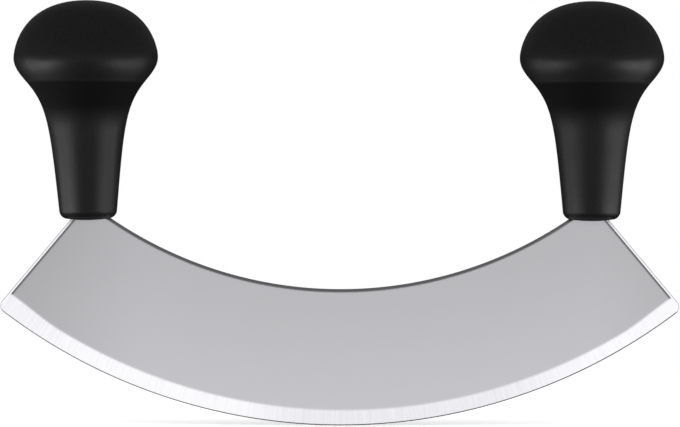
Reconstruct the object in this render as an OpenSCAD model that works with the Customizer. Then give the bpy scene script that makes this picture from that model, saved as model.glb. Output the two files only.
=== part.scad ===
// Mezzaluna: a crescent blade rocked by two knob handles, 230 mm from tip to tip.
// The blade stands upright in the XZ plane with its cutting edge down.
// The origin is the lowest point of the cutting edge, in the middle of the steel.

/* [Blade] */
// Length from tip to tip
blade_l = 230; // [215:1:245]
// Height in the middle, from the cutting edge to the spine
blade_h = 46.2; // [40:0.1:52]
// Thickness of the ground steel
blade_t = 2; // [1.8:0.1:2.4]
// Radius of the curved cutting edge
edge_r = 189; // [175:1:205]
// Radius of the hollow spine
spine_r = 138; // [126:1:150]
// Angle of each end cut from the upright
end_angle = 40; // [34:1:46]
// Radius of the rounded tips
tip_r = 2.6; // [1.5:0.1:4]
// Rounding of the spine and of the end cuts
spine_round = 0.8; // [0.3:0.1:0.85]

/* [Cutting edge] */
// Width of the ground bevel
bevel_w = 5.1; // [3:0.1:8]
// Thickness left where the bevel stops
bevel_end_t = 0.4; // [0.2:0.05:0.8]
// Width of the fine bevel that makes the edge
fine_bevel_w = 0.4; // [0.2:0.05:0.8]

/* [Tangs] */
// Thickness of the unground steel inside the handles
tang_t = 2.2; // [2.1:0.1:3]
// Width of each tang
tang_w = 9; // [6:0.5:11]
// Length of each tang above the foot of its handle
tang_l = 50; // [40:1:60]
// Diameter of the lock holes that the plastic flows through
lock_hole_d = 4; // [2:0.5:5]
// Height of the lower lock hole above the foot
lock_low = 16; // [12:1:20]
// Height of the upper lock hole above the foot
lock_high = 38; // [28:1:42]

/* [Handles] */
// Height of each handle, from its foot to the top of the knob
handle_h = 74.5; // [68:0.1:82]
// Distance from the corner of the blade in to the handle's axis
handle_inset = 0.5; // [-1:0.1:2]
// Depth of the blade's corner inside the foot
handle_sink = 6.7; // [4:0.1:9]
// Outward lean of the left handle, in degrees
left_lean = 1; // [0:0.5:3]
// Outward lean of the right handle, in degrees
right_lean = 0; // [0:0.5:3]
// Gap between the steel and the plastic moulded on it
mould_gap = 0.02; // [0.01:0.01:0.1]

/* [Stem] */
// Radius of the stem just above its rounded foot
foot_r = 9.8; // [9:0.1:11]
// Radius of the rounding round the foot
foot_round = 3; // [1.5:0.1:4]
// Height of the shallow dome under the foot
foot_dome = 0.5; // [0.2:0.1:1]
// Angle at which the stem widens upwards
stem_taper = 5.4; // [3:0.1:7]
// Height of the straight part of the stem above the foot
stem_h = 7; // [5:0.1:10]

/* [Knob] */
// Diameter of the knob at its widest
knob_d = 48.9; // [44:0.1:54]
// Height of the crown above the widest place
crown_h = 19.2; // [16:0.1:23]
// Drop from the widest place to the steepest place of the underside
flare_drop = 8; // [6.5:0.1:9.5]
// Distance of that steepest place in from the widest radius
flare_in = 4.05; // [3:0.05:5]
// Steepest angle of the underside from the upright
flare_angle = 40.4; // [34:0.1:46]

/* [Hidden] */
$fn = 96;
// Points along each curve of a handle's outline, along the dome and along the rounding of its foot
curve_steps = 14;
dome_steps = 5;
corner_steps = 8;
// How far a cutting tool reaches past the steel
past = 2;
// How freely the outline's curves bend: each number is a share of the curve's own reach
stem_pull = 0.646;
waist_pull = 0.245;
flare_pull = 0.456;
side_pull = 0.317;
shoulder_pull = 0.13;
crown_pull = 0.9;

// Centre of the rounded right tip, which touches the cutting edge from inside
tip = [blade_l / 2 - tip_r, edge_r - sqrt(pow(edge_r - tip_r, 2) - pow(blade_l / 2 - tip_r, 2))];
tip_turn = atan2(tip[0], edge_r - tip[1]);
// The end cut starts where the rounded tip stops, and runs up and in to the corner at the spine
end_out = [cos(end_angle), sin(end_angle)];
end_up = [-sin(end_angle), cos(end_angle)];
end_start = tip + tip_r * end_out;
spine_z = blade_h + spine_r;
from_spine = end_start - [0, spine_z];
end_run = -from_spine * end_up - sqrt(pow(from_spine * end_up, 2) - from_spine * from_spine + pow(spine_r, 2));
corner = end_start + end_run * end_up;
// Where the two end cuts would meet above the blade
apex_run = end_start[0] / sin(end_angle);

handle_x = corner[0] - handle_inset;
foot_z = corner[1] - handle_sink;
knob_z = handle_h - crown_h;

// A point on the right end cut, moved outwards by a gap
function end_point(run, gap) = end_start + run * end_up + gap * end_out;

// A smooth curve from one point to another with a pull towards two more
function curve(a, b, c, d) = [
    for (i = [1:curve_steps])
        let (t = i / curve_steps, u = 1 - t)
            u * u * u * a + 3 * u * u * t * b + 3 * u * t * t * c + t * t * t * d
];

// Half of a handle's outline, from the middle of the foot up to the top of the crown
// Angle below the level at which the dome runs into the rounding of the foot
foot_turn = 80;
foot_centre = [foot_r - foot_round, foot_dome + foot_round];
foot_dome_end = foot_centre + foot_round * [cos(foot_turn), -sin(foot_turn)];
stem_dir = [sin(stem_taper), cos(stem_taper)];
flare_dir = [sin(flare_angle), cos(flare_angle)];
stem_low = foot_centre + foot_round * [cos(stem_taper), -sin(stem_taper)];
stem_top = stem_low + (stem_h - stem_low[1]) / cos(stem_taper) * stem_dir;
flare = [knob_d / 2 - flare_in, knob_z - flare_drop];
widest = [knob_d / 2, knob_z];
top = [0, handle_h];
neck_reach = norm(flare - stem_top);
flare_reach = norm(widest - flare);
handle_outline = concat(
    [for (i = [0:dome_steps - 1])
        [foot_dome_end[0] * i / dome_steps, foot_dome_end[1] * pow(i / dome_steps, 2)]],
    [for (i = [0:corner_steps]) let (a = foot_turn + (stem_taper - foot_turn) * i / corner_steps)
        foot_centre + foot_round * [cos(a), -sin(a)]],
    [stem_top],
    curve(stem_top, stem_top + stem_pull * neck_reach * stem_dir,
        flare - waist_pull * neck_reach * flare_dir, flare),
    curve(flare, flare + flare_pull * flare_reach * flare_dir,
        widest - [0, side_pull * flare_reach], widest),
    curve(widest, widest + [0, shoulder_pull * crown_h],
        top + [crown_pull * knob_d / 2, 0], top)
);

// Stands a flat shape up in the blade's plane and gives it a thickness
module upright(thick) {
    rotate([90, 0, 0])
        linear_extrude(thick, center = true)
            children();
}

// Puts a flat shape drawn about a handle's axis where that handle stands
module at_handle_flat(side, lean) {
    translate([side * handle_x, foot_z])
        rotate(-side * lean)
            children();
}

// Side view of the steel, without the cutting edge and the spine
module blade_plan() {
    reach = (edge_r + past) * [sin(tip_turn), -cos(tip_turn)] + [0, edge_r];
    polygon([
        end_point(apex_run, 0),
        end_start, tip, reach,
        [reach[0], -past], [-reach[0], -past],
        [-reach[0], reach[1]], [-tip[0], tip[1]], [-end_start[0], end_start[1]]
    ]);
    for (side = [-1, 1])
        translate([side * tip[0], tip[1]])
            circle(tip_r);
}

// Section of the ground disc, from its centre out to the cutting edge
module ground_section() {
    polygon([
        [0, -blade_t / 2],
        [edge_r - bevel_w, -blade_t / 2],
        [edge_r - fine_bevel_w, -bevel_end_t / 2],
        [edge_r, 0],
        [edge_r - fine_bevel_w, bevel_end_t / 2],
        [edge_r - bevel_w, blade_t / 2],
        [0, blade_t / 2]
    ]);
}

// Section of what a rounded edge loses, for steel that ends at x = 0 and lies to its left
module edge_waste() {
    difference() {
        translate([-spine_round, -blade_t])
            square([spine_round + past, 2 * blade_t]);
        translate([-2 * spine_round, spine_round - blade_t / 2])
            square([2 * spine_round, blade_t - 2 * spine_round]);
        for (face = [-1, 1])
            translate([-spine_round, face * (blade_t / 2 - spine_round)])
                circle(spine_round);
    }
}

// The hollow of the spine, with the waste of its rounded edge
module spine_cut() {
    translate([0, 0, spine_z])
        rotate([90, 0, 0])
            rotate_extrude() {
                translate([0, -blade_t])
                    square([spine_r - past / 2, 2 * blade_t]);
                translate([spine_r, 0])
                    mirror([1, 0])
                        edge_waste();
            }
}

// The waste of one rounded end: it runs straight past the tip, where the rounding fades out
module end_cut() {
    low = end_point(-2 * tip_r, 0);
    translate([low[0], 0, low[1]])
        rotate([0, -end_angle, 0])
            linear_extrude(apex_run)
                edge_waste();
}

// Side view of the steel inside one handle, grown by a gap, down to a depth below the foot
module tang_plan(side, lean, gap, below) {
    intersection() {
        difference() {
            polygon([
                [0, end_start[1]],
                [side * end_point(0, gap)[0], end_point(0, gap)[1]],
                [side * end_point(apex_run, gap)[0], end_point(apex_run, gap)[1]]
            ]);
            translate([0, spine_z])
                circle(spine_r - gap);
        }
        at_handle_flat(side, lean)
            translate([-2 * foot_r, -below])
                square([4 * foot_r, handle_h]);
    }
    at_handle_flat(side, lean)
        difference() {
            union() {
                translate([-tang_w / 2 - gap, 0])
                    square([tang_w + 2 * gap, tang_l - tang_w / 2]);
                translate([0, tang_l - tang_w / 2])
                    circle(tang_w / 2 + gap);
            }
            for (h = [lock_low, lock_high])
                translate([0, h])
                    circle(lock_hole_d / 2 - gap);
        }
}

module blade() {
    color([0.73, 0.73, 0.75]) {
        difference() {
            intersection() {
                translate([0, 0, edge_r])
                    rotate([90, 0, 0])
                        rotate_extrude()
                            ground_section();
                upright(blade_t + past)
                    blade_plan();
            }
            spine_cut();
            for (side = [0, 1])
                mirror([side, 0, 0])
                    end_cut();
        }
        upright(tang_t) {
            tang_plan(-1, left_lean, 0, 0);
            tang_plan(1, right_lean, 0, 0);
        }
    }
}

module handle(side, lean) {
    color([0.07, 0.07, 0.075])
        difference() {
            translate([side * handle_x, 0, foot_z])
                rotate([0, side * lean, 0])
                    rotate_extrude()
                        polygon(handle_outline);
            upright(tang_t + 2 * mould_gap)
                tang_plan(side, lean, mould_gap, past);
        }
}

module left_handle() {
    handle(-1, left_lean);
}

module right_handle() {
    handle(1, right_lean);
}

blade();
left_handle();
right_handle();
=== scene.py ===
# Mezzaluna: a satin crescent blade with a bright ground bevel and two black moulded knob handles.
# Metres, +Z up. The blade stands in the XZ plane with its cutting edge down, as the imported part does.
import math

import bmesh
import bpy
import numpy as np
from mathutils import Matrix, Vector
from mathutils.geometry import delaunay_2d_cdt


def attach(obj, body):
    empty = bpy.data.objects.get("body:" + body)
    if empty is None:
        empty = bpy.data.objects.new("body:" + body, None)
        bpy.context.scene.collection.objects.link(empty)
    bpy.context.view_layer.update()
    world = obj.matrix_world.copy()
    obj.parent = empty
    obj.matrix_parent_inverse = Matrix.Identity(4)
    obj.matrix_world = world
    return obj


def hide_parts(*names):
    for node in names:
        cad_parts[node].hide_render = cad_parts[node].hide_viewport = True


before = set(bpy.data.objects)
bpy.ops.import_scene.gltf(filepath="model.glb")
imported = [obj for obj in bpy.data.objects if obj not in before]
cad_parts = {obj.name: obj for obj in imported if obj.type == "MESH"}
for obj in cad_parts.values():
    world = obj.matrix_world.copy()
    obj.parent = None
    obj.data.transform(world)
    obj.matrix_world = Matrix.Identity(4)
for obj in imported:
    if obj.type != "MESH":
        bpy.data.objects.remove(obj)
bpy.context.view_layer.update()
mm = 0.001

# sizes in millimetres and degrees, as on the part
bladeSettings = {
    "length": 230.0,            # tip to tip
    "height": 46.2,             # cutting edge to spine, in the middle
    "thickness": 2.0,
    "edgeRadius": 189.0,
    "spineRadius": 138.0,
    "endAngle": 40.0,           # end cuts, from the upright
    "tipRadius": 2.6,
    "bevelWidth": 5.12,         # ground bevel in the middle
    "bevelDrift": -1.01,        # times the sine of the turn from the middle: wider at the left
    "tipWiden": 0.8,            # what the bevel gains between these two turns, close to each tip
    "widenFrom": 31.0,
    "widenTo": 36.5,
    "bevelSoft": 0.45,          # half width of the rolled line where the bevel starts
    "bevelEndThickness": 0.42,
    "fineBevelWidth": 0.34,
    "spineRound": 1.3,          # reach of the rounding in from the spine
    "endChamfer": 0.85,         # reach of the chamfer in from the end cuts
    "endRim": 0.62,             # half thickness left at the end cuts
    "endSoft": 0.2,             # half width of the rolled line where that chamfer starts
    "sharpAngle": 32.0,         # a turn of the surface that still looks rounded
    # mesh lines, with those across a rolled line in its half widths
    "rayColumns": 380,
    "tipSweep": 93.0,           # turn round the tip that its columns follow
    "tipColumns": 26,
    "chamferColumns": (-1.4, -1.0, -0.6, -0.3, 0.0, 0.3, 0.6, 1.0, 1.4),
    "innerColumns": (2.9, 3.8, 4.6),    # depths in from the end cut
    "spineRows": 15,
    "pastSpine": 1.15,          # first row on the flat, as a share of the spine's rounding
    "faceRows": 26,
    "rollRows": (1.8, 1.0, 0.75, 0.5, 0.25, 0.0, -0.25, -0.5, -0.75, -1.0, -1.8),
    "bevelRows": (0.78, 0.16, 7),       # first and last share of the bevel's width, and the count
    "fineRows": (0.04, 0.0, -0.04),
}


# plan of the blade from its circles and straight cuts: round tip, end cut, and corner at the spine
def bladePlan(s):
    angle, tipR = math.radians(s["endAngle"]), s["tipRadius"]
    tipX = s["length"] / 2 - tipR
    tipZ = s["edgeRadius"] - math.sqrt((s["edgeRadius"] - tipR) ** 2 - tipX ** 2)
    out = np.array([math.cos(angle), math.sin(angle)])
    up = np.array([-math.sin(angle), math.cos(angle)])
    endStart = np.array([tipX, tipZ]) + tipR * out
    spineZ = s["height"] + s["spineRadius"]
    fromSpine = endStart - np.array([0.0, spineZ])
    b = fromSpine @ up
    run = -b - math.sqrt(b * b - fromSpine @ fromSpine + s["spineRadius"] ** 2)
    tipTurn = math.atan2(tipX, s["edgeRadius"] - tipZ)
    return {"tip": (tipX, tipZ), "tipTurn": tipTurn, "out": out, "endStart": endStart, "angle": angle,
            "apexZ": endStart[1] + endStart[0] / math.tan(angle), "spineZ": spineZ,
            "corner": endStart + run * up}


bladeFacts = bladePlan(bladeSettings)


# distance along rays that start on the axis at startZ, to the far crossing of a circle
def rayToCircle(dx, dz, startZ, centreX, centreZ, radius):
    relX, relZ = -centreX, startZ - centreZ
    b = relX * dx + relZ * dz
    return -b + np.sqrt(np.maximum(b * b - (relX ** 2 + relZ ** 2 - radius ** 2), 0))


# the lesser of two slopes, with their meeting line rolled over a short way instead of knife sharp
def rolledMin(a, b, soft):
    gap = a - b
    return np.where(np.abs(gap) < soft, b - (gap - soft) ** 2 / (4 * soft), np.minimum(a, b))


# half the steel's thickness at a depth in from the spine: a quarter of an ellipse
def spineHalf(depth, s):
    t = np.clip(depth / s["spineRound"], 0, 1)
    return s["thickness"] / 2 * np.sqrt(1 - (1 - t) ** 2)


# half the thickness at a depth in from an end cut: a straight chamfer over a thin rim
def endHalf(depth, s):
    half = s["thickness"] / 2
    slope = (half - s["endRim"]) / s["endChamfer"]
    return rolledMin(s["endRim"] + depth * slope, half, s["endSoft"] * slope)


# half the thickness at a depth in from the cutting edge: fine bevel, ground bevel, then the flat
def groundHalf(depth, width, s):
    fine, endHalfThickness, half = s["fineBevelWidth"], s["bevelEndThickness"] / 2, s["thickness"] / 2
    slope = (half - endHalfThickness) / (width - fine)
    ground = rolledMin(endHalfThickness + (depth - fine) * slope, half, s["bevelSoft"] * slope)
    return np.where(depth < fine, depth / fine * endHalfThickness, ground)


# width of the ground bevel at a turn from the middle of the cutting edge
def bevelWidthAt(turn, s):
    start, stop = math.radians(s["widenFrom"]), math.radians(s["widenTo"])
    t = np.clip((np.abs(turn) - start) / (stop - start), 0, 1)
    return s["bevelWidth"] + s["bevelDrift"] * np.sin(turn) + s["tipWiden"] * t * t * (3 - 2 * t)


# a mesh from arrays in millimetres, welded, with its faces turned outwards
def newPiece(name, points, faces, weld=0.0004):
    mesh = bpy.data.meshes.new(name)
    mesh.from_pydata((points * mm).tolist(), [], faces if isinstance(faces, list) else faces.tolist())
    work = bmesh.new()
    work.from_mesh(mesh)
    bmesh.ops.remove_doubles(work, verts=work.verts, dist=weld * mm)
    bmesh.ops.dissolve_degenerate(work, edges=work.edges, dist=weld * mm)
    bmesh.ops.recalc_face_normals(work, faces=work.faces)
    work.to_mesh(mesh)
    work.free()
    mesh.shade_smooth()
    piece = bpy.data.objects.new(name, mesh)
    bpy.context.scene.collection.objects.link(piece)
    return piece


# quads of a grid whose rows follow each other in memory; wrap closes it round the columns
def gridQuads(rows, columns, wrap=False):
    r, c = np.meshgrid(np.arange(rows - 1), np.arange(columns if wrap else columns - 1), indexing="ij")
    a = r * columns + c
    b = r * columns + (c + 1) % columns
    return np.stack([a, b, b + columns, a + columns], axis=-1).reshape(-1, 4)


# columns run from the spine to the cutting edge. In the middle they fan out from one point above the
# blade; near each end they run parallel to the end cut, so that its chamfer follows whole columns
def bladeColumns(s, facts):
    turns = np.linspace(0, math.radians(s["tipSweep"]), s["tipColumns"])
    around = s["tipRadius"] * (1 - np.cos(turns))
    chamfer = s["endChamfer"] + s["endSoft"] * np.array(s["chamferColumns"])
    depths = np.unique(np.round(np.concatenate([[0.0], around, chamfer, s["innerColumns"]]), 4))
    depths = np.concatenate([depths[:1], depths])
    apex = facts["apexZ"] - depths / math.sin(facts["angle"])
    fan = facts["angle"] * np.linspace(-1, 1, s["rayColumns"])[1:-1]
    phi = np.concatenate([np.full(depths.size, -facts["angle"]), fan, np.full(depths.size, facts["angle"])])
    start = np.concatenate([apex, np.full(fan.size, apex[-1]), apex[::-1]])
    return phi, start


# the blade's front is a height over the plan; the back is its mirror image
def bladeGrid(s, facts):
    phi, apex = bladeColumns(s, facts)
    dx, dz = np.sin(phi), -np.cos(phi)
    edgeR = s["edgeRadius"]
    tipX, tipZ = facts["tip"]
    spine = rayToCircle(dx, dz, apex, 0.0, facts["spineZ"], s["spineRadius"])
    edge = rayToCircle(dx, dz, apex, 0.0, edgeR, edgeR)
    pastTip = np.abs(dx * edge) > edgeR * math.sin(facts["tipTurn"])
    roundTip = rayToCircle(np.abs(dx), dz, apex, tipX, tipZ, s["tipRadius"])
    edge = np.where(pastTip, roundTip, edge)
    width = bevelWidthAt(np.arctan2(dx * edge, edgeR - apex - dz * edge), s)
    spineDepth = s["spineRound"] * (1 - np.cos(np.linspace(0, math.pi / 2, s["spineRows"])))
    spineRows = spine[None, :] + np.append(spineDepth, s["spineRound"] * s["pastSpine"])[:, None]
    roll = s["bevelSoft"] * np.array(s["rollRows"])
    inside = np.linspace(*s["bevelRows"])
    fine = s["fineBevelWidth"] + np.array(s["fineRows"])
    depth = np.concatenate([width[None, :] + roll[:, None], inside[:, None] * width[None, :],
                            np.repeat(fine[:, None], phi.size, 1), np.zeros((2, phi.size))])
    edgeRows = rayToCircle(dx, dz, apex, 0.0, edgeR, edgeR - depth)
    edgeRows = np.minimum(edgeRows, edge[None, :])
    edgeRows[-2:] = edge
    share = (np.arange(1, s["faceRows"]) / s["faceRows"])[:, None]
    faceRows = spineRows[-1][None, :] * (1 - share) + edgeRows[0][None, :] * share
    along = np.concatenate([spineRows, faceRows, edgeRows])
    x, z = along * dx[None, :], apex[None, :] + along * dz[None, :]
    edgeDepth = np.maximum(edgeR - np.hypot(x, z - edgeR), 0)
    spineDepth = np.maximum(np.hypot(x, z - facts["spineZ"]) - s["spineRadius"], 0)
    endDepth = facts["endStart"] @ facts["out"] - np.abs(x) * facts["out"][0] - z * facts["out"][1]
    # round the tip the rim follows the arc instead of the straight cut
    tipDepth = s["tipRadius"] - np.hypot(np.abs(x) - tipX, z - tipZ)
    below = (z - tipZ) * facts["out"][0] < (np.abs(x) - tipX) * facts["out"][1]
    endDepth = np.where(below & (np.abs(x) > tipX - 0.5), np.minimum(endDepth, tipDepth), endDepth)
    width = bevelWidthAt(np.arctan2(x, edgeR - z), s)
    half = np.minimum.reduce([groundHalf(edgeDepth, width, s), spineHalf(spineDepth, s),
                              endHalf(np.maximum(endDepth, 0), s)])
    half[0], half[-1], half[:, 0], half[:, -1] = 0, 0, 0, 0
    return x, half, z


tangSettings = {
    "thickness": 2.2,
    "width": 9.0,
    "length": 50.0,             # above the foot of the handle
    "holeDiameter": 4.0,
    "holeHeights": (16.0, 38.0),
    "start": 1.0,               # above the foot, where it overlaps the blade's corner
    "endPoints": 25,
    "holePoints": 32,
}


# strip of unground steel that goes up into a handle, with a round end and its lock holes cut out
def tangShell(side, lean, s, handle, facts):
    halfWidth, top = s["width"] / 2, s["length"] - s["width"] / 2
    arc = np.linspace(0, math.pi, s["endPoints"])
    outline = np.concatenate([[[-halfWidth, s["start"]], [halfWidth, s["start"]]],
                              np.stack([halfWidth * np.cos(arc), top + halfWidth * np.sin(arc)], axis=1)])
    ring = np.linspace(0, 2 * math.pi, s["holePoints"], endpoint=False)
    hole = s["holeDiameter"] / 2 * np.stack([np.cos(ring), np.sin(ring)], axis=1)
    loops = [outline] + [hole + [0, h] for h in s["holeHeights"]]
    starts = np.cumsum([0] + [len(loop) for loop in loops])
    edges = [(int(start + i), int(start + (i + 1) % len(loop)))
             for start, loop in zip(starts, loops) for i in range(len(loop))]
    flat = np.concatenate(loops)
    filled = delaunay_2d_cdt([Vector(p) for p in flat.tolist()], edges, [], 1, 1e-6)
    corners = np.array(filled[2])
    middles = flat[corners].mean(axis=1)
    solid = np.all([np.hypot(middles[:, 0], middles[:, 1] - h) > s["holeDiameter"] / 2
                    for h in s["holeHeights"]], axis=0)
    turn = math.radians(lean) * side
    x = flat[:, 0] * math.cos(turn) + flat[:, 1] * math.sin(turn)
    z = flat[:, 1] * math.cos(turn) - flat[:, 0] * math.sin(turn)
    x = x + side * (facts["corner"][0] - handle["inset"])
    z = z + facts["corner"][1] - handle["sink"]
    y = np.full(x.size, s["thickness"] / 2)
    points = np.concatenate([np.stack([x, -y, z], axis=1), np.stack([x, y, z], axis=1)])
    n = x.size
    faces = [list(map(int, f)) for f in corners[solid]]
    faces += [[int(i + n) for i in f[::-1]] for f in corners[solid]]
    faces += [[a, b, b + n, a + n] for a, b in edges]
    return points, faces


def makeBlade(s, facts):
    x, half, z = bladeGrid(s, facts)
    front = np.stack([x, -half, z], axis=-1).reshape(-1, 3)
    back = front * np.array([1, -1, 1])
    quads = gridQuads(*x.shape)
    faces = np.concatenate([quads, quads[:, ::-1] + len(front)]).tolist()
    points = [front, back]
    for side, lean in ((-1, handleSettings["leftLean"]), (1, handleSettings["rightLean"])):
        start = sum(len(p) for p in points)
        tangPoints, tangFaces = tangShell(side, lean, tangSettings, handleSettings, facts)
        points.append(tangPoints)
        faces += [[i + start for i in f] for f in tangFaces]
    blade = newPiece("blade_dressed", np.concatenate(points), faces)
    blade.data.set_sharp_from_angle(angle=math.radians(s["sharpAngle"]))
    return blade


handleSettings = {
    "height": 74.5,
    "inset": 0.5,               # axis, in from the blade's corner
    "sink": 6.7,                # corner of the blade inside the foot
    "leftLean": 1.0,
    "rightLean": 0.0,
    "footRadius": 9.8,
    "footRound": 3.0,
    "footDome": 0.5,
    "footTurn": 80.0,           # below the level, where the foot's rounding meets its dome
    "stemTaper": 5.4,
    "stemHeight": 7.0,
    "knobDiameter": 48.9,
    "crownHeight": 19.2,
    "flareDrop": 8.0,           # widest place down to the steepest place of the underside
    "flareIn": 4.05,
    "flareAngle": 40.4,
    "stemPull": 0.646,          # how freely each curve leaves its ends
    "waistPull": 0.245,
    "flarePull": 0.456,
    "sidePull": 0.317,
    "shoulderPull": 0.13,
    "crownPull": 0.9,
    "turns": 160,               # points round the handle
    "curvePoints": 56,          # points along each long curve of the outline
    "cornerPoints": 20,
    "domePoints": 12,
    "stemPoints": 7,
}


# one smooth curve between two points with a pull towards two more
def pullCurve(a, b, c, d, count):
    t = np.linspace(0, 1, count + 1)[1:, None]
    u = 1 - t
    return u ** 3 * a + 3 * u * u * t * b + 3 * u * t * t * c + t ** 3 * d


# half outline of a handle from the middle of its foot to the top of its crown, as (radius, height)
def handleOutline(s):
    taper, flare = math.radians(s["stemTaper"]), math.radians(s["flareAngle"])
    footCentre = np.array([s["footRadius"] - s["footRound"], s["footDome"] + s["footRound"]])
    knobR, knobZ = s["knobDiameter"] / 2, s["height"] - s["crownHeight"]
    turn = np.radians(np.linspace(s["footTurn"], s["stemTaper"], s["cornerPoints"]))[:, None]
    corner = footCentre + s["footRound"] * np.concatenate([np.cos(turn), -np.sin(turn)], axis=1)
    share = np.linspace(0, 1, s["domePoints"])[:-1, None]
    dome = np.concatenate([corner[0, 0] * share, corner[0, 1] * share ** 2], axis=1)
    stemDir = np.array([math.sin(taper), math.cos(taper)])
    flareDir = np.array([math.sin(flare), math.cos(flare)])
    stemTop = corner[-1] + (s["stemHeight"] - corner[-1, 1]) / math.cos(taper) * stemDir
    stem = corner[-1] + (stemTop - corner[-1]) * np.linspace(0, 1, s["stemPoints"])[1:, None]
    steepest = np.array([knobR - s["flareIn"], knobZ - s["flareDrop"]])
    widest, top = np.array([knobR, knobZ]), np.array([0.0, s["height"]])
    neckReach, flareReach = np.linalg.norm(steepest - stemTop), np.linalg.norm(widest - steepest)
    n = s["curvePoints"]
    neck = pullCurve(stemTop, stemTop + s["stemPull"] * neckReach * stemDir,
                     steepest - s["waistPull"] * neckReach * flareDir, steepest, n)
    under = pullCurve(steepest, steepest + s["flarePull"] * flareReach * flareDir,
                      widest - np.array([0, s["sidePull"] * flareReach]), widest, n // 3)
    crown = pullCurve(widest, widest + np.array([0, s["shoulderPull"] * s["crownHeight"]]),
                      top + np.array([s["crownPull"] * knobR, 0]), top, n)
    return np.concatenate([dome, corner, stem, neck, under, crown])


# handle: the outline turned about its axis, leaned, and set down over the blade's corner
def makeHandle(name, side, lean, s, facts):
    outline = handleOutline(s)
    angle = np.linspace(0, 2 * math.pi, s["turns"], endpoint=False)
    r, h = outline[:, :1], outline[:, 1:]
    x, y, z = r * np.cos(angle)[None, :], r * np.sin(angle)[None, :], h + 0 * angle[None, :]
    turn = math.radians(lean) * side
    x, z = x * math.cos(turn) + z * math.sin(turn), z * math.cos(turn) - x * math.sin(turn)
    x = x + side * (facts["corner"][0] - s["inset"])
    z = z + facts["corner"][1] - s["sink"]
    points = np.stack([x, y, z], axis=-1).reshape(-1, 3)
    return newPiece(name, points, gridQuads(len(outline), s["turns"], wrap=True))


# short hand for wiring maths nodes together
class Wiring:
    def __init__(self, tree):
        self.tree, self.nodes, self.links = tree, tree.nodes, tree.links

    def add(self, kind, **values):
        node = self.nodes.new(kind)
        for key, value in values.items():
            setattr(node, key, value)
        return node

    def feed(self, value, socket):
        if isinstance(value, (int, float)):
            socket.default_value = value
        else:
            self.links.new(value, socket)

    def maths(self, operation, *values, clamp=False):
        node = self.add("ShaderNodeMath", operation=operation, use_clamp=clamp)
        for i, value in enumerate(values):
            self.feed(value, node.inputs[i])
        return node.outputs[0]

    # 0 below low, 1 above high, with a soft step between
    def rise(self, value, low, high, fromValue=0.0, toValue=1.0):
        node = self.add("ShaderNodeMapRange", interpolation_type="SMOOTHSTEP")
        for name, v in (("Value", value), ("From Min", low), ("From Max", high),
                        ("To Min", fromValue), ("To Max", toValue)):
            self.feed(v, node.inputs[name])
        return node.outputs[0]

    def mix(self, factor, a, b):
        node = self.add("ShaderNodeMix", data_type="FLOAT")
        for value, socket in ((factor, node.inputs[0]), (a, node.inputs[2]), (b, node.inputs[3])):
            self.feed(value, socket)
        return node.outputs[0]

    def tint(self, tone, red, green, blue):
        node = self.add("ShaderNodeCombineColor")
        for i, share in enumerate((red, green, blue)):
            self.feed(self.maths("MULTIPLY", tone, share), node.inputs[i])
        return node.outputs[0]

    def length(self, a, b):
        squares = self.maths("ADD", self.maths("MULTIPLY", a, a), self.maths("MULTIPLY", b, b))
        return self.maths("SQRT", squares)

    # x and z of a point in millimetres
    def heights(self, coords):
        split = self.add("ShaderNodeSeparateXYZ")
        self.feed(coords, split.inputs[0])
        return [self.maths("MULTIPLY", split.outputs[axis], 1 / mm) for axis in "XZ"]

    # a point for the grain, stretched by its scale along the turn and along the depth
    def stretch(self, turn, depth, scale):
        point = self.add("ShaderNodeCombineXYZ")
        self.feed(self.maths("MULTIPLY", turn, scale[0]), point.inputs[0])
        self.feed(self.maths("MULTIPLY", depth, scale[1]), point.inputs[1])
        return point.outputs[0]

    # a tone with each painted light or shade added between its two places along x
    def shaded(self, tone, x, shades):
        for gain, start, stop in shades:
            tone = self.maths("ADD", tone, self.rise(x, start, stop, 0.0, gain))
        return tone

    # 1 on the average, that swings with a grain by a depth
    def swing(self, value, depth):
        return self.maths("MULTIPLY_ADD", value, depth, 1 - depth / 2)

    def bump(self, height, look, shader):
        node = self.add("ShaderNodeBump")
        node.inputs["Strength"].default_value = look["bumpStrength"]
        node.inputs["Distance"].default_value = look["bumpHeight"] * mm
        self.feed(height, node.inputs["Height"])
        self.feed(node.outputs[0], shader.inputs["Normal"])


def newMaterial(name):
    material = bpy.data.materials.new(name)
    material.use_nodes = True
    wiring = Wiring(material.node_tree)
    return material, wiring, material.node_tree.nodes["Principled BSDF"]


# shared fine grain: a value round 0.5 that varies over the surface, stretched by the vector fed in
def grainGroup():
    group = bpy.data.node_groups.new("fineGrain", "ShaderNodeTree")
    for name, kind in (("Vector", "Vector"), ("Scale", "Float"), ("Contrast", "Float")):
        group.interface.new_socket(name, in_out="INPUT", socket_type="NodeSocket" + kind)
    group.interface.new_socket("Value", in_out="OUTPUT", socket_type="NodeSocketFloat")
    w = Wiring(group)
    start, end = w.add("NodeGroupInput"), w.add("NodeGroupOutput")
    noise = w.add("ShaderNodeTexNoise")
    noise.inputs["Detail"].default_value = 3.0
    w.feed(start.outputs["Vector"], noise.inputs["Vector"])
    w.feed(start.outputs["Scale"], noise.inputs["Scale"])
    swing = w.maths("MULTIPLY", w.maths("SUBTRACT", noise.outputs["Fac"], 0.5), start.outputs["Contrast"])
    w.feed(w.maths("ADD", swing, 0.5), end.inputs["Value"])
    return group


def grain(w, group, vector, scale, contrast):
    node = w.add("ShaderNodeGroup", node_tree=group)
    w.feed(vector, node.inputs["Vector"])
    node.inputs["Scale"].default_value = scale
    node.inputs["Contrast"].default_value = contrast
    return node.outputs["Value"]


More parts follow.
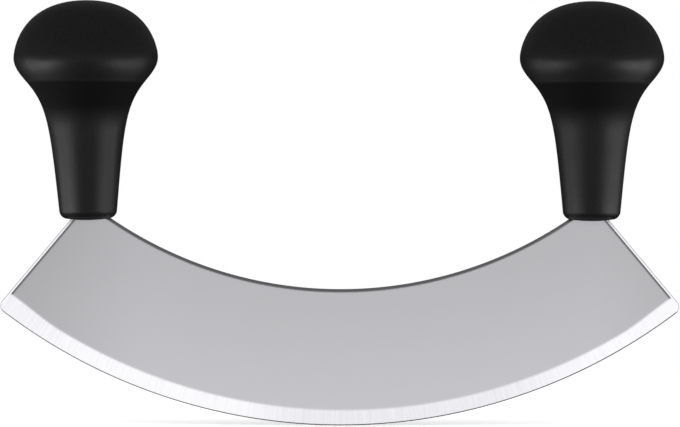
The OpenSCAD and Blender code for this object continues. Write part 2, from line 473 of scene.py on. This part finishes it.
steelSettings = {
    # painted light: the face is lighter beside the bevel than near the spine
    "faceTop": 0.663,           # tone near the spine
    "faceLow": 0.70,            # tone beside the bevel
    # painted shade, a tone added between two places along x, in millimetres: both ends of the face are
    # darker
    "facePaintedShade": ((-0.14, -60.0, -118.0), (-0.06, 85.0, 112.0)),
    "faceRough": 0.30,
    "bevelTone": 0.87,          # in the middle; painted light makes both ends of the bevel brighter, with a little painted shade at the far left
    "bevelPaintedLight": ((0.12, -10.0, -38.0), (-0.03, -85.0, -102.0), (0.12, 50.0, 95.0)),
    "bevelStreak": 0.12,        # depth of the cross-ground streaks in the tone
    "bevelRough": 0.36,
    "bevelMetal": 0.72,         # coarse grinding scatters some light, as a pale matt surface does
    "bevelBlend": 0.55,         # half width of the change from bevel to face
    # painted shade: the fine bevel is darker, with painted light towards the left
    "fineShadeTone": 0.13,
    "finePaintedLight": ((0.2, -10.0, -90.0),),
    # painted highlight: the end chamfers are a pale, non-metallic white
    "chamferHighlightTone": 0.97,
    "chamferMetal": 0.0,
    "rimShadeTone": 0.3,             # painted shade: thin dark outline of the end cuts
    "tipShadeTone": 0.5,             # painted shade: thin outline of the rounded tips
    "shadowLineTone": 0.20,           # painted shadow line between the end chamfer and the face
    # painted shade along the rounded spine, on top of its reflection of the dark tent
    "spineShadeTone": 0.62,
    "tint": (1.0, 0.995, 1.035),
    # where each of them starts and stops, in millimetres past the line that it belongs to
    "fineFade": (0.05, -0.05),
    "spineFade": (0.5, -0.78),
    "chamferFade": (0.05, -0.2),
    "rimFade": (0.34, 0.1),
    "tipFade": (-0.38, -0.12),
    "tipTurnFade": 0.1,         # in radians
    "shadowLineStart": (-0.15, 0.1),
    "shadowLineStop": (0.95, 0.2),
    "shadowLineLow": (-0.3, 0.3),
    "lineScale": (14.0, 6.0),   # grain along and across the long satin lines
    "lineDepth": 0.05,
    "lineRough": 0.07,
    "streakScale": (190.0, 0.05),
    "streakContrast": 2.2,
    "cloudScale": 28.0,
    "cloudDepth": 0.03,
    "bumpStrength": 0.05,
    "bumpHeight": 0.02,
}


# two places beside a line, from how far past it they are
def past(line, fade):
    return [line + reach for reach in fade]


# steel: long satin lines on the faces and a bright cross-ground bevel, with painted light and shade: a
# darker fine bevel, white end chamfers, darker outlines at the end cuts and tips, a shadow line inside each
# chamfer and shade along the spine
def steelMaterial(s, facts, look, group):
    material, w, shader = newMaterial("satin_steel")
    coords = w.add("ShaderNodeTexCoord").outputs["Object"]
    x, z = w.heights(coords)
    side = w.maths("ABSOLUTE", x)
    down = w.maths("SUBTRACT", s["edgeRadius"], z)
    turn = w.maths("ARCTAN2", x, down)
    depth = w.maths("SUBTRACT", s["edgeRadius"], w.length(x, down))
    widened = w.rise(w.maths("ABSOLUTE", turn), math.radians(s["widenFrom"]), math.radians(s["widenTo"]),
                     0.0, s["tipWiden"])
    drifted = w.maths("MULTIPLY_ADD", w.maths("SINE", turn), s["bevelDrift"], s["bevelWidth"])
    above = w.maths("SUBTRACT", depth, w.maths("ADD", drifted, widened))
    onFace = w.rise(above, -look["bevelBlend"], look["bevelBlend"])
    onFine = w.rise(depth, *past(s["fineBevelWidth"], look["fineFade"]))
    fromSpine = w.maths("SUBTRACT", w.length(x, w.maths("SUBTRACT", facts["spineZ"], z)), s["spineRadius"])
    onSpine = w.rise(fromSpine, *past(s["spineRound"], look["spineFade"]))

    # depth in from the end cut: its chamfer, painted as a white highlight, the thin rim outside it, painted
    # dark, and the painted shadow line inside it
    outX, outZ = map(float, facts["out"])
    reach = float(facts["endStart"] @ facts["out"])
    inwards = w.maths("ADD", w.maths("MULTIPLY", side, outX), w.maths("MULTIPLY", z, outZ))
    fromEnd = w.maths("SUBTRACT", reach, inwards)
    onChamfer = w.rise(fromEnd, *past(s["endChamfer"], look["chamferFade"]))
    onRim = w.rise(fromEnd, *look["rimFade"])
    shadowLineStart = w.rise(fromEnd, *past(s["endChamfer"], look["shadowLineStart"]))
    shadowLineStop = w.rise(fromEnd, *past(s["endChamfer"], look["shadowLineStop"]))
    shadowLine = w.maths("MULTIPLY", shadowLineStart, shadowLineStop)
    onShadowLine = w.maths("MULTIPLY", shadowLine, w.rise(above, *look["shadowLineLow"]))

    # painted shade outline of the rounded tip, between the turns at which its arc starts and stops
    tipX, tipZ = map(float, facts["tip"])
    fromTipX, fromTipZ = w.maths("SUBTRACT", side, tipX), w.maths("SUBTRACT", z, tipZ)
    tipAngle = w.maths("ARCTAN2", fromTipZ, fromTipX)
    low, high, fade = facts["tipTurn"] - math.pi / 2, facts["angle"], look["tipTurnFade"]
    roundTip = w.maths("MULTIPLY", w.rise(tipAngle, low - fade, low), w.rise(tipAngle, high + fade, high))
    tipRim = w.rise(w.length(fromTipX, fromTipZ), *past(s["tipRadius"], look["tipFade"]))
    onTip = w.maths("MULTIPLY", roundTip, tipRim)

    lines = grain(w, group, w.stretch(turn, depth, look["lineScale"]), 1.0, 1.0)
    streaks = grain(w, group, w.stretch(turn, depth, look["streakScale"]), 1.0, look["streakContrast"])
    cloud = grain(w, group, coords, look["cloudScale"], 1.0)

    # face tone with painted light towards the bevel and painted shade at both ends
    face = w.rise(depth, s["height"], s["bevelWidth"], look["faceTop"], look["faceLow"])
    face = w.shaded(face, x, look["facePaintedShade"])
    face = w.maths("MULTIPLY", face, w.swing(lines, look["lineDepth"]))
    face = w.maths("MULTIPLY", face, w.swing(cloud, look["cloudDepth"]))
    # bevel tone with painted light at both ends
    bevel = w.shaded(look["bevelTone"], x, look["bevelPaintedLight"])
    bevel = w.maths("MULTIPLY", bevel, w.swing(streaks, look["bevelStreak"]))
    # darker fine bevel: painted shade, lighter towards the left by painted light
    fine = w.shaded(look["fineShadeTone"], x, look["finePaintedLight"])
    bevel = w.mix(onFine, w.maths("MINIMUM", bevel, 1.0), fine)
    tone = w.mix(onFace, bevel, face)
    # painted shade on the spine
    tone = w.mix(onSpine, tone, look["spineShadeTone"])
    # painted highlight on the end chamfers, with painted shade on their thin rims
    tone = w.mix(onChamfer, tone, w.mix(onRim, look["chamferHighlightTone"], look["rimShadeTone"]))
    # painted shadow line inside each end chamfer
    tone = w.mix(onShadowLine, tone, look["shadowLineTone"])
    # painted shade outline of the rounded tips
    tone = w.mix(onTip, tone, look["tipShadeTone"])
    w.feed(w.tint(tone, *look["tint"]), shader.inputs["Base Color"])
    least = look["faceRough"] - look["lineRough"] / 2
    faceRough = w.maths("MULTIPLY_ADD", lines, look["lineRough"], least)
    w.feed(w.mix(onFace, look["bevelRough"], faceRough), shader.inputs["Roughness"])
    metal = w.mix(onFine, w.mix(onFace, look["bevelMetal"], 1.0), 1.0)
    # the painted highlight on the chamfers is not metallic
    w.feed(w.mix(onChamfer, metal, look["chamferMetal"]), shader.inputs["Metallic"])
    w.bump(w.mix(onFace, streaks, lines), look, shader)
    return material


plasticSettings = {
    "crownTone": 0.0085,
    "bandShadeTone": 0.0003,         # painted shade close under the knob
    "neckTone": 0.0085,
    "bandTop": 116.2,           # heights on the standing tool
    "bandSoft": 0.8,
    "bandLow": 109.0,
    "neckTop": 98.5,
    "footTop": 70.0,
    "footSoft": 0.3,
    "roughLow": 0.35,
    "roughHigh": 0.43,
    "bandRough": 0.85,          # the mould is left unpolished under the knob and under the foot
    "specular": 0.10,
    "tint": (1.0, 1.0, 1.08),
    "grainScale": 1900.0,
    "grainContrast": 1.6,
    "grainRange": (0.2, 0.8),
    "grainTones": (0.8, 1.2),
    "cloudScale": 60.0,
    "cloudRange": (0.3, 0.7),
    "bumpStrength": 0.10,
    "bumpHeight": 0.05,
}


# black moulded plastic: satin, with the very fine grain of a spark-eroded mould and a band of painted shade
# under the knob
def plasticMaterial(look, group):
    material, w, shader = newMaterial("black_plastic")
    coords = w.add("ShaderNodeTexCoord").outputs["Object"]
    z = w.heights(coords)[1]
    fine = grain(w, group, coords, look["grainScale"], look["grainContrast"])
    cloud = grain(w, group, coords, look["cloudScale"], 1.0)
    bandLow, bandHigh = look["bandTop"] - look["bandSoft"], look["bandTop"] + look["bandSoft"]
    # painted shade: the tone falls from the neck's to the band's under the knob, then rises to the crown's
    tone = w.rise(z, look["neckTop"], look["bandLow"], look["neckTone"], look["bandShadeTone"])
    tone = w.mix(w.rise(z, bandLow, bandHigh), tone, look["crownTone"])
    tone = w.maths("MULTIPLY", tone, w.rise(fine, *look["grainRange"], *look["grainTones"]))
    w.feed(w.tint(tone, *look["tint"]), shader.inputs["Base Color"])
    polished = w.rise(cloud, *look["cloudRange"], look["roughLow"], look["roughHigh"])
    inBand = w.maths("MULTIPLY", w.rise(z, look["neckTop"], look["bandLow"]), w.rise(z, bandHigh, bandLow))
    atFoot = w.rise(z, look["footTop"] + look["footSoft"], look["footTop"])
    unpolished = w.maths("MAXIMUM", inBand, atFoot)
    w.feed(w.mix(unpolished, polished, look["bandRough"]), shader.inputs["Roughness"])
    w.bump(fine, look, shader)
    shader.inputs["Specular IOR Level"].default_value = look["specular"]
    return material


print("blade")
fineGrain = grainGroup()
blade = makeBlade(bladeSettings, bladeFacts)
blade.data.materials.append(steelMaterial(bladeSettings, bladeFacts, steelSettings, fineGrain))
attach(blade, "root")
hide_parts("blade")

print("handles")
plastic = plasticMaterial(plasticSettings, fineGrain)
handles = []
for side, node, lean in ((-1, "left_handle", "leftLean"), (1, "right_handle", "rightLean")):
    handle = makeHandle(node + "_dressed", side, handleSettings[lean], handleSettings, bladeFacts)
    handle.data.materials.append(plastic)
    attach(handle, "root")
    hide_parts(node)
    handles.append(handle)

stageSettings = {
    "cameraDistance": 1.3,
    "photoWidth": 680.0,        # pixels
    "bladeInPhoto": 678.8,      # pixels from tip to tip
    "centreHeight": 71.8,       # height at the middle of the photograph, in millimetres
    "worldLight": 0.85,
    "lampPower": 2.2,
    "lampSize": (0.4, 0.5),
    "lampPlace": (0.85, -0.32, 0.42),   # to each side, to the front and up
    "lampAim": 0.07,
    "floorHalf": 6.0,
    "floorTone": 0.9,
    "floorLift": 0.28,          # light added to what the camera sees of the floor
    "floorFade": (0.16, 0.5),   # distances between which the floor turns plain white
    # soft cards for the handles' gloss: turn from the front and height in degrees, distance, width and
    # height in metres, how far the card's front end hangs down in degrees, and its radiance on the outer
    # and on the inner side of each handle
    "handleCards": ((57.0, -27.0, 0.13, 0.08, 0.06, 0.0, 6.8, 4.7),
                    (86.0, -22.0, 0.13, 0.10, 0.08, 25.0, 4.1, 3.1)),
    "cameraRoll": -0.12,        # degrees
}


# lightens what the camera sees of the floor up to white, and leaves the object's shadow on it
def makeFloor(s):
    mesh = bpy.data.meshes.new("floor")
    half = s["floorHalf"]
    corners = [(x * half, y * half, 0) for x, y in ((-1, -1), (1, -1), (1, 1), (-1, 1))]
    mesh.from_pydata(corners, [], [(0, 1, 2, 3)])
    floor = bpy.data.objects.new("floor", mesh)
    bpy.context.scene.collection.objects.link(floor)
    material, w, shader = newMaterial("pale_floor")
    shader.inputs["Base Color"].default_value = (s["floorTone"],) * 3 + (1,)
    shader.inputs["Roughness"].default_value = 1.0
    shader.inputs["Specular IOR Level"].default_value = 0.0
    lift = w.add("ShaderNodeEmission")
    path = w.add("ShaderNodeLightPath")
    w.feed(w.maths("MULTIPLY", path.outputs["Is Camera Ray"], s["floorLift"]), lift.inputs["Strength"])
    lit = w.add("ShaderNodeAddShader")
    w.links.new(shader.outputs[0], lit.inputs[0])
    w.links.new(lift.outputs[0], lit.inputs[1])
    white = w.add("ShaderNodeEmission")
    coords = w.add("ShaderNodeTexCoord").outputs["Object"]
    length = w.add("ShaderNodeVectorMath", operation="LENGTH")
    w.feed(coords, length.inputs[0])
    far = w.rise(length.outputs["Value"], *s["floorFade"])
    far = w.maths("MULTIPLY", far, path.outputs["Is Camera Ray"])
    blend = w.add("ShaderNodeMixShader")
    w.feed(far, blend.inputs[0])
    w.links.new(lit.outputs[0], blend.inputs[1])
    w.links.new(white.outputs[0], blend.inputs[2])
    w.links.new(blend.outputs[0], material.node_tree.nodes["Material Output"].inputs[0])
    mesh.materials.append(material)
    floor.visible_glossy = False


# levels of the reflections, with the turns from the front or the heights, in degrees, of each change
bladeTentSettings = {
    "radius": 3.0,
    "clear": False,
    "front": 0.78,
    "side": 0.5,
    "sideTurn": (30.0, 100.0),
    "back": 0.5,
    "backTurn": (115.0, 150.0),
    "above": 0.16,
    "aboveHeight": (0.0, 22.0),
    "below": 0.4,
    "belowHeight": (-30.0, -55.0),
    "lowFront": 1.17,           # the low ring lights the bevel
    "lowSide": 0.66,
    "lowBack": 1.05,
    "lowSideTurn": (25.0, 55.0),
    "lowBackTurn": (125.0, 155.0),
    "lowTop": (-2.0, -14.0),
    "lowBottom": (-48.0, -30.0),
}

# dark behind and below, so that the handles keep their dark outlines
handleTentSettings = {
    "radius": 2.9,
    "clear": True,
    "front": 0.45,
    "side": 0.3,
    "sideTurn": (30.0, 100.0),
    "back": 0.03,
    "backTurn": (110.0, 145.0),
    "above": 0.16,
    "aboveHeight": (0.0, 22.0),
    "below": 0.0,
    "belowHeight": (-22.0, -45.0),
    "lowFront": 1.1,
    "lowSide": 0.3,
    "lowBack": 0.03,
    "lowSideTurn": (20.0, 50.0),
    "lowBackTurn": (110.0, 145.0),
    "lowTop": (-5.0, -12.0),
    "lowBottom": (-40.0, -20.0),
}


# the only objects that a light falls on
def onlyOn(objects):
    lit = bpy.data.collections.new("lit")
    for item in objects:
        lit.objects.link(item)
    return lit


# round tent that only the reflections on some objects see: dark above, grey in front, with a low ring.
# A clear tent lets the others' rays through to the one round it
def makeTent(s, lit):
    work = bmesh.new()
    bmesh.ops.create_uvsphere(work, u_segments=64, v_segments=32, radius=s["radius"])
    mesh = bpy.data.meshes.new("reflection_tent")
    work.to_mesh(mesh)
    work.free()
    tent = bpy.data.objects.new("reflection_tent", mesh)
    bpy.context.scene.collection.objects.link(tent)
    material, w, shader = newMaterial("tent_cards")
    material.node_tree.nodes.remove(shader)
    split = w.add("ShaderNodeSeparateXYZ")
    w.feed(w.add("ShaderNodeTexCoord").outputs["Object"], split.inputs[0])
    upwards = w.maths("ARCSINE", w.maths("MULTIPLY", split.outputs["Z"], 1 / s["radius"]))
    sideways = w.maths("ARCTAN2", split.outputs["X"], w.maths("MULTIPLY", split.outputs["Y"], -1.0))
    height = w.maths("DEGREES", upwards)
    turn = w.maths("DEGREES", w.maths("ABSOLUTE", sideways))
    level = w.mix(w.rise(turn, *s["sideTurn"]), s["front"], s["side"])
    level = w.mix(w.rise(turn, *s["backTurn"]), level, s["back"])
    level = w.mix(w.rise(height, *s["aboveHeight"]), level, s["above"])
    level = w.mix(w.rise(height, *s["belowHeight"]), level, s["below"])
    lowLevel = w.mix(w.rise(turn, *s["lowSideTurn"]), s["lowFront"], s["lowSide"])
    lowLevel = w.mix(w.rise(turn, *s["lowBackTurn"]), lowLevel, s["lowBack"])
    inRing = w.maths("MULTIPLY", w.rise(height, *s["lowTop"]), w.rise(height, *s["lowBottom"]))
    level = w.mix(inRing, level, lowLevel)
    glow = w.add("ShaderNodeEmission")
    w.feed(level, glow.inputs["Strength"])
    surface = glow.outputs[0]
    if s["clear"]:
        both = w.add("ShaderNodeAddShader")
        w.feed(surface, both.inputs[0])
        w.feed(w.add("ShaderNodeBsdfTransparent").outputs[0], both.inputs[1])
        surface = both.outputs[0]
    w.feed(surface, material.node_tree.nodes["Material Output"].inputs[0])
    mesh.materials.append(material)
    for kind in ("camera", "diffuse", "transmission", "volume_scatter", "shadow"):
        setattr(tent, "visible_" + kind, False)
    tent.light_linking.receiver_collection = lit


# rectangular lamp of a width and a height that faces a point
def areaLamp(name, place, aim, size, power):
    data = bpy.data.lights.new(name, "AREA")
    data.shape, data.energy = "RECTANGLE", power
    data.size, data.size_y = size
    lamp = bpy.data.objects.new(name, data)
    bpy.context.scene.collection.objects.link(lamp)
    lamp.location = place
    lamp.rotation_euler = (Vector(aim) - lamp.location).to_track_quat("-Z", "Y").to_euler()
    return lamp


# white surroundings at strength 1 for what sees them, a little less as light on the object
def makeWorld(s):
    world = bpy.data.worlds.new("studio")
    bpy.context.scene.world = world
    world.use_nodes = True
    w = Wiring(world.node_tree)
    path = w.add("ShaderNodeLightPath").outputs
    seen = path["Is Camera Ray"]
    for kind in ("Is Glossy Ray", "Is Transmission Ray"):
        seen = w.maths("MAXIMUM", seen, path[kind])
    background = world.node_tree.nodes["Background"]
    background.inputs["Color"].default_value = (1, 1, 1, 1)
    w.feed(w.mix(seen, s["worldLight"], 1.0), background.inputs["Strength"])
    for side in (-1, 1):
        aside, forward, up = s["lampPlace"]
        place, aim = (side * aside, forward, up), (0, 0, s["lampAim"])
        lamp = areaLamp("side_softbox", place, aim, s["lampSize"], s["lampPower"])
        lamp.visible_glossy = False


# cards that each give one handle its gloss: light linking keeps them off the blade and the other
# handle. A card's power is its radiance times its area times pi
def makeCards(s, handles):
    for side, handle in zip((-1, 1), handles):
        lit = onlyOn([handle])
        low, high = (np.array(handle.bound_box[i]) for i in (0, 6))
        centre = Vector((low + high) / 2)
        for turn, rise, distance, wide, tall, slant, outer, inner in s["handleCards"]:
            turn, rise, slant = (math.radians(angle) for angle in (turn, rise, slant))
            for way, radiance in ((side, outer), (-side, inner)):
                aside, forward = way * math.sin(turn) * math.cos(rise), -math.cos(turn) * math.cos(rise)
                place = centre + distance * Vector((aside, forward, math.sin(rise)))
                power = radiance * math.pi * wide * tall
                card = areaLamp("handle_card", place, centre, (wide, tall), power)
                card.rotation_euler.rotate_axis("Z", way * slant)
                card.data.use_shadow = False
                card.visible_diffuse = False
                card.visible_camera = False
                card.light_linking.receiver_collection = lit


def makeCamera(s):
    camera = bpy.data.cameras.new("camera")
    width = bladeSettings["length"] * mm * s["photoWidth"] / s["bladeInPhoto"]
    camera.lens = camera.sensor_width * s["cameraDistance"] / width
    viewer = bpy.data.objects.new("camera", camera)
    bpy.context.scene.collection.objects.link(viewer)
    viewer.location = (0, -s["cameraDistance"], s["centreHeight"] * mm)
    viewer.rotation_euler = (math.radians(90), math.radians(s["cameraRoll"]), 0)
    bpy.context.scene.camera = viewer


print("stage")
makeFloor(stageSettings)
makeTent(bladeTentSettings, onlyOn([blade]))
makeTent(handleTentSettings, onlyOn(handles))
makeWorld(stageSettings)
makeCards(stageSettings, handles)
makeCamera(stageSettings)
bpy.context.scene.view_settings.view_transform = "Standard"
